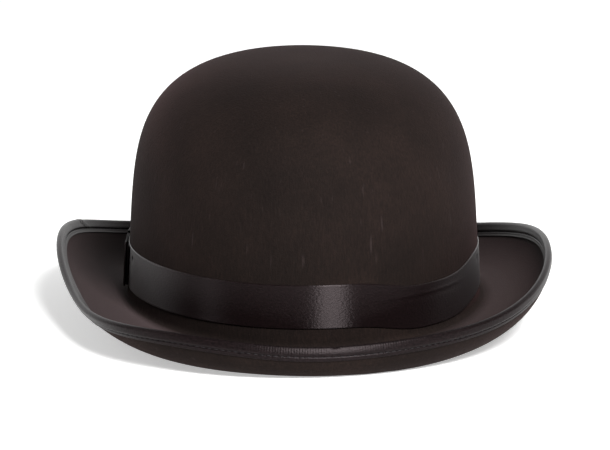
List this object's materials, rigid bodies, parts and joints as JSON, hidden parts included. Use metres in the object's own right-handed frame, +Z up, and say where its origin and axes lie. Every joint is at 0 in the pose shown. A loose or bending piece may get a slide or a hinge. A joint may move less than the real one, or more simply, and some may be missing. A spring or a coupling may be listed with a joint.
{
  "type": "bowler hat",
  "caption": "Stiff felt bowler hat with a round crown, a curled and ribbon-bound brim, a satin hat band with a flat side bow, a leather sweatband and a satin lining.",
  "frame": {"origin": "on the surface that the brim rests on, under the middle of the crown", "axes": "+Z up through the crown, +Y towards the wearer's front along the longer way of the oval, +X to the wearer's right; the bow is at -X"},
  "size_m": [0.236, 0.2884, 0.124],
  "materials": {
    "felt": "matte stiffened wool felt with a fine nap, very dark brown",
    "band_satin": "satin ribbon, near black, soft bright highlight",
    "binding_satin": "ribbed satin ribbon, dark violet grey",
    "thread": "spun sewing thread, dark",
    "sweat_leather": "smooth sheepskin, brown",
    "lining_satin": "plain lining satin, dark"
  },
  "bodies": {
    "root": {"felt_body": "felt", "brim_binding": "binding_satin", "binding_stitching": "thread", "hat_band": "band_satin", "bow_tails": "band_satin", "bow_loops": "band_satin", "bow_knot": "band_satin", "band_tacks": "thread", "sweatband": "sweat_leather", "sweatband_stitching": "thread", "sweatband_bow": "lining_satin", "lining_side": "lining_satin", "lining_tip": "lining_satin", "lining_piping": "lining_satin"}
  },
  "joints": []
}
